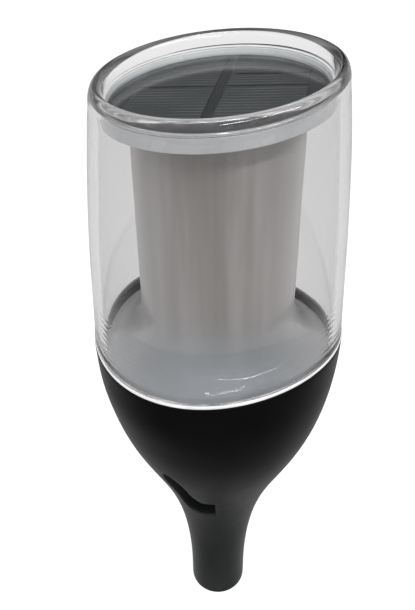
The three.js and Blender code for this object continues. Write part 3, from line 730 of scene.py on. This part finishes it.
def pocket(skin, curve, rim, outline, back_r, rounding=0.0, steps=5):
    """Rounded edge, side walls and back wall of the opening's pocket; gives its button hole's edge."""
    rings = [[round_neck(a, h, radius_at(curve, h)) for a, h in rim]]
    if rounding:
        for k in range(1, steps + 1):
            angle = k / steps * pi / 2
            sunk = rounding * (1 - cos(angle))
            rings.append([round_neck(a, h, radius_at(curve, h) - sunk)
                          for a, h in opening_outline(rounding * (1 - sin(angle)))])
    for share in POCKET_DEPTHS:
        ring = []
        for a, h in outline:
            outside = radius_at(curve, h) - rounding
            ring.append(round_neck(a, h, outside + (back_r - outside) * share))
        rings.append(ring)
    for first, second in zip(rings, rings[1:]):
        skin.bridge(first, second)
    hole = button_ring(back_r)
    places, faces = fill([*outline, *hole], [(0, len(outline)), (len(outline), len(hole))],
                         lambda c: inside(c, outline) and not inside(c, hole))
    skin.add([round_neck(a, h, back_r) for a, h in places], faces)
    return [round_neck(a, h, back_r) for a, h in hole]


def base_shell():
    skin = Skin()
    end = soften([(SOCKET_R, SOCKET_LOW_Z), (SOCKET_R, 0), (NECK_R, 0), (NECK_R, NECK_LOW_Z)],
                 radius=NECK_ROUND, loop=False)
    neck = on_curve(OUTER, heights(NECK_STRAIGHT, BAND_LOW, WALL_STEP))
    skin.spin([(0, SOCKET_DEPTH), (SOCKET_R, SOCKET_DEPTH), *end, *neck])
    top = soften([
        (BELLY_R, TOP_EDGE_Z),
        (BELLY_R, JOINT_Z),
        (GROOVE_OUTER_R, JOINT_Z),
        (GROOVE_OUTER_R, GROOVE_Z),
        (GROOVE_INNER_R, GROOVE_Z),
        (GROOVE_INNER_R, JOINT_Z),
        (LAND_INNER_R, JOINT_Z),
        (LAND_INNER_R, LEDGE_Z),
        (LEDGE_R, LEDGE_Z),
        (LEDGE_R, LEDGE_Z - LEDGE_THICK),
        (radius_at(INNER, INNER_TOP_Z), INNER_TOP_Z),
    ], loop=False)
    upper = on_curve(OUTER, heights(BAND_HIGH, TOP_CURVE_Z, TOP_STEP))
    lower = on_curve(INNER, heights(BAND_HIGH, INNER_TOP_Z, WALL_STEP))[:-1]
    skin.spin([*upper, *top, *reversed(lower)])
    low_wall = on_curve(INNER, heights(CAVITY_WALL_Z, BAND_LOW, WALL_STEP))
    skin.spin([*reversed(low_wall), (CAVITY_FLOOR_R, CAVITY_FLOOR_Z), (0, CAVITY_FLOOR_Z)])
    rim = opening_outline(LIP_ROUND)
    band_with_opening(skin, OUTER, rim, opening_outline(LIP_ROUND + EDGE_MARGIN))
    front = pocket(skin, OUTER, rim, opening_outline(), OPENING_BACK_R, LIP_ROUND)
    grown = opening_outline(POCKET_WALL)
    band_with_opening(skin, INNER, grown, opening_outline(POCKET_WALL + EDGE_MARGIN))
    back = pocket(skin, INNER, grown, grown, OPENING_BACK_R - POCKET_WALL)
    skin.bridge(front, back)
    skin.build("base_form", "base_shell", "base", black_shell)


# ---- cup, gasket, diffuser ----
def lip_arc(steps=30):
    """Round top of the rim, from its outer side to its inner side."""
    arc = []
    for k in range(1, steps + 1):
        angle = LIP_ARC * k / steps
        arc.append((LIP_R + LIP_HALF_WIDTH * cos(angle), LIP_FOOT_Z + LIP_HEIGHT * sin(angle)))
    return arc


def ringed_bore():
    """Inner side of the wall from the rim down, with shallow moulding rings near the foot."""
    bore = through(BORE, steps=10)
    above = [point for point in bore if point[1] > RINGS_TOP_Z]
    plain = on_curve(bore[::-1], heights(RINGS_LOW_Z, RINGS_TOP_Z, RING_STEP))
    rings = [(r + RING_DEPTH * sin(2 * pi * (z - RINGS_LOW_Z) / RING_PITCH), z) for r, z in plain]
    return [*above, *reversed(rings)]


def clear_cup():
    # The first and last points only set the direction of their corners.
    foot = soften([
        (BORE_FOOT_R, JOINT_Z + 2 * MM),
        (BORE_FOOT_R, CUP_SEAT_Z),
        (TONGUE_INNER_R, CUP_SEAT_Z),
        (TONGUE_INNER_R, TONGUE_Z),
        (TONGUE_OUTER_R, TONGUE_Z),
        (TONGUE_OUTER_R, CUP_FOOT_Z),
        (CUP_FOOT_R, CUP_FOOT_Z),
        (CUP_FOOT_R, CUP_FOOT_Z + 2 * MM),
    ], radius=0.3 * MM, loop=False)[1:-1]
    outer = bezier(((CUP_FOOT_R, CUP_FOOT_Z), CUP_LOW_PULL, CUP_HIGH_PULL,
                    (LIP_R + LIP_HALF_WIDTH, LIP_FOOT_Z)), steps=48)[2:]
    section = [*foot, *outer, *lip_arc(), *ringed_bore()]
    turned("cup_form", "clear_cup", section, "top", cup_finish)


def cup_gasket():
    section = soften([(GASKET_INNER_R, GASKET_LOW_Z), (gasket_high.x, GASKET_LOW_Z),
                      (gasket_high.x, GASKET_TOP_Z), (GASKET_INNER_R, GASKET_TOP_Z)], radius=0.5 * MM)
    turned("gasket_form", "cup_gasket", section, "base", silicone_finish)


def flare(wall=0.0, steps=28):
    """Quarter curve from the tube's foot out to the dish's edge."""
    points = []
    for i in range(steps + 1):
        angle = i / steps * pi / 2
        points.append((DISH_R - (DISH_R - TUBE_R + wall) * cos(angle),
                       FLARE_TOP_Z - (FLARE_TOP_Z - DISH_TOP_Z + wall) * sin(angle)))
    return points


def diffuser():
    outer = through([(TUBE_TOP_R, TUBE_TOP_Z), (TUBE_MID_R, TUBE_MID_Z), (TUBE_R, FLARE_TOP_Z)], steps=12)
    inner = through([(TUBE_R - TUBE_WALL, FLARE_TOP_Z), (TUBE_MID_R - TUBE_WALL, TUBE_MID_Z),
                     (TUBE_TOP_BORE_R, TUBE_TOP_Z)], steps=12)
    section = soften([*outer[:-1], *flare(), *reversed(flare(DISH_THICK)), *inner[1:]], radius=0.4 * MM)
    turned("diffuser_form", "diffuser", section, "top", frost)


# ---- panel ----
def panel_tray():
    section = soften([
        (TRAY_HOLE_R, TRAY_FLOOR_Z + TRAY_THICK),
        (TRAY_INNER_R, TRAY_FLOOR_Z + TRAY_THICK),
        (TRAY_INNER_R, TRAY_TOP_Z),
        (TRAY_OUTER_R, TRAY_TOP_Z),
        (TRAY_OUTER_R, TRAY_FLOOR_Z),
        (SPIGOT_ROOT_R, TRAY_FLOOR_Z),
        (SPIGOT_OUTER_R, SPIGOT_Z),
        (SPIGOT_INNER_R, SPIGOT_Z),
        (SPIGOT_INNER_R, TRAY_FLOOR_Z),
        (TRAY_HOLE_R, TRAY_FLOOR_Z),
    ], radius=0.4 * MM)
    turned("tray_form", "panel_tray", section, "top", tray_white)


def disc(name, node, material):
    """Flat round sheet with softened edges, lying where its node lies."""
    low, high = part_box(node)
    middle = (low.z + high.z) / 2
    half = (high.z - low.z - RIM_LEAN * (high.y - low.y)) / 2
    outline = soften([(0, middle - half), (high.x, middle - half), (high.x, middle + half),
                      (0, middle + half)], radius=0.3 * MM, loop=False)
    section = []
    for (r0, z0), (r1, z1) in zip(outline, outline[1:]):
        steps = max(1, round(abs(r1 - r0) / DISC_STEP))
        section.extend([(r0 + (r1 - r0) * i / steps, z0 + (z1 - z0) * i / steps) for i in range(steps)])
    section.append(outline[-1])
    turned(name, node, section, "top", material, loop=False)


def panel_seal():
    section = soften([(SEAL_INNER_R, SEAL_LOW_Z), (SEAL_OUTER_R, SEAL_LOW_Z),
                      (SEAL_OUTER_R, SEAL_TOP_Z), (SEAL_INNER_R, SEAL_TOP_Z)], radius=0.2 * MM)
    turned("seal_form", "panel_seal", section, "top", silicone_finish)


# ---- the nodes that keep their CAD form ----
red_wire = moulded("red_wire", (0.45, 0.03, 0.025), 0.45)
black_wire = moulded("black_wire", (0.02, 0.02, 0.02), 0.45)
component = moulded("black_component", (0.02, 0.02, 0.022), 0.5)
contact = metal("plated_contact", (0.7, 0.69, 0.66), 0.22, 500.0)
steel = metal("steel", (0.62, 0.62, 0.63), 0.3, 700.0)
led = moulded("led", (0.85, 0.72, 0.28), 0.3)
KEPT = {
    "solar_cell_left": cell_finish,
    "solar_cell_right": cell_finish,
    "panel_wire_red": red_wire,
    "panel_wire_black": black_wire,
    "panel_plug": tray_white,
    "panel_socket": tray_white,
    "deck": tray_white,
    "deck_screw_1": steel,
    "deck_screw_2": steel,
    "deck_screw_3": steel,
    "led_board": moulded("white_board", (0.75, 0.75, 0.74), 0.35),
    "led_1": led,
    "led_2": led,
    "led_3": led,
    "led_4": led,
    "main_board": board_finish,
    "control_chip": component,
    "boost_coil": component,
    "board_header": component,
    "battery_holder": moulded("black_plastic", (0.018, 0.018, 0.018), 0.4),
    "battery_cell": moulded("battery_sleeve", (0.04, 0.22, 0.10), 0.3, 0.1),
    "battery_wire_red": red_wire,
    "battery_wire_black": black_wire,
    "contact_spring": contact,
    "contact_plate": contact,
    "switch_body": component,
    "switch_button": moulded("black_rubber", (0.014, 0.014, 0.015), 0.7, 0.15, 1400.0, 0.04 * MM),
    "switch_plunger": moulded("white_plunger", (0.7, 0.7, 0.7), 0.4),
    "switch_wire_a": black_wire,
    "switch_wire_b": red_wire,
}


def dress(node, material):
    piece = nodes[node]
    piece.data.materials.clear()
    piece.data.materials.append(material)


# ---- set ----
def floor(half=6.0):
    mesh = bpy.data.meshes.new("floor")
    corners = [(-half, -half, 0), (half, -half, 0), (half, half, 0), (-half, half, 0)]
    mesh.from_pydata(corners, [], [(0, 1, 2, 3)])
    plane = bpy.data.objects.new("floor", mesh)
    bpy.context.scene.collection.objects.link(plane)
    made = Finish("floor")
    made.surface(Base_Color=(0.32, 0.32, 0.32), Roughness=0.9, Specular_IOR_Level=0.0,
                 Emission_Color=(1.0, 1.0, 1.0), Emission_Strength=0.8)
    mesh.materials.append(made.material)
    plane.visible_glossy = False


def lamp(name, azimuth, elevation, reach, size, power):
    """Soft oblong lamp aimed at the middle of the light; azimuth 0 is the front, 90 the +X side."""
    data = bpy.data.lights.new(name, "AREA")
    data.shape = "RECTANGLE"
    data.size, data.size_y = size
    data.energy = power
    made = bpy.data.objects.new(name, data)
    bpy.context.scene.collection.objects.link(made)
    a, e = radians(azimuth), radians(elevation)
    away = Vector((sin(a) * cos(e), -cos(a) * cos(e), sin(e)))
    middle = (cad_low + cad_high) / 2
    made.location = middle + away * reach
    made.rotation_euler = away.to_track_quat("Z", "Y").to_euler()
    return made


def lamps():
    lamp("strip", CAMERA_AZIMUTH + 32, elevation=50, reach=1.2, size=(1.3, 0.03), power=9.0)
    lamp("window", CAMERA_AZIMUTH - 8, elevation=72, reach=1.1, size=(0.5, 0.06), power=1.2)
    fill_lamp = lamp("fill", CAMERA_AZIMUTH - 60, elevation=35, reach=1.5, size=(0.9, 0.9), power=3.5)
    fill_lamp.visible_glossy = False
    fill_lamp.visible_transmission = False


def surroundings():
    """Soft room with plain walls and a bright ceiling, brightest in direct reflections, and a dim patch
    behind the object; below the horizon it is dark in front and pale behind."""
    world = bpy.data.worlds.new("studio")
    bpy.context.scene.world = world
    world.use_nodes = True
    made = Nodes(world.node_tree)
    direction = made.node("TexCoord").outputs["Generated"]
    paths = made.node("LightPath").outputs
    height = made.split(direction)["Z"]
    away = made.dot(direction, tuple(-part for part in TOWARDS_CAMERA))

    first_hit = made.maths("LESS_THAN", paths["Ray Depth"], 1.5)
    mirrored = made.maths("MULTIPLY", paths["Is Glossy Ray"], first_hit)
    ceiling = made.scaled(mirrored, CEILING, MIRRORED_CEILING)
    plain = made.scaled(height, WALLS, ceiling, *WALL_TO_CEILING)

    straight_behind = made.scaled(away, 0.0, 1.0, *PATCH_SIDES, "SMOOTHSTEP")
    over_foot = made.scaled(height, 0.0, 1.0, *PATCH_FOOT, "SMOOTHSTEP")
    over_top = made.scaled(height, 0.0, 1.0, *PATCH_TOP, "SMOOTHSTEP")
    in_band = made.maths("SUBTRACT", over_foot, over_top)
    upper = made.scaled(made.maths("MULTIPLY", straight_behind, in_band), plain, DIM_PATCH)

    lower = made.scaled(away, LOW_FRONT, LOW_BACK, *FRONT_TO_BACK)
    level = made.scaled(height, lower, upper, *HORIZON)
    background = world.node_tree.nodes["Background"].inputs
    made.set(background["Color"], made.scaled(paths["Is Camera Ray"], level, BACKDROP))
    made.set(background["Strength"], ROOM_STRENGTH)


def camera():
    data = bpy.data.cameras.new("camera")
    data.sensor_width = SENSOR
    data.lens = LENS
    data.shift_x = SIDE_SHIFT
    data.clip_start = 10 * MM
    made = bpy.data.objects.new("camera", data)
    bpy.context.scene.collection.objects.link(made)
    made.location = Vector(TOWARDS_CAMERA) * CAMERA_REACH + Vector((0, 0, JOINT_Z + CAMERA_RISE))
    made.rotation_euler = (radians(90 - CAMERA_PITCH), 0, radians(CAMERA_AZIMUTH))
    bpy.context.scene.camera = made


def light_paths():
    scene = bpy.context.scene
    scene.view_settings.view_transform = "Standard"
    scene.cycles.use_denoising = True
    scene.cycles.max_bounces = 16
    scene.cycles.transmission_bounces = 14
    scene.cycles.glossy_bounces = 8
    scene.cycles.transparent_max_bounces = 24
    scene.cycles.sample_clamp_indirect = 6.0


base_shell()
clear_cup()
cup_gasket()
diffuser()
panel_tray()
disc("panel_board_form", "panel_board", backing_finish)
disc("panel_cover_form", "panel_cover", cover_finish)
panel_seal()
for node, material in KEPT.items():
    dress(node, material)
floor()
lamps()
surroundings()
camera()
light_paths()
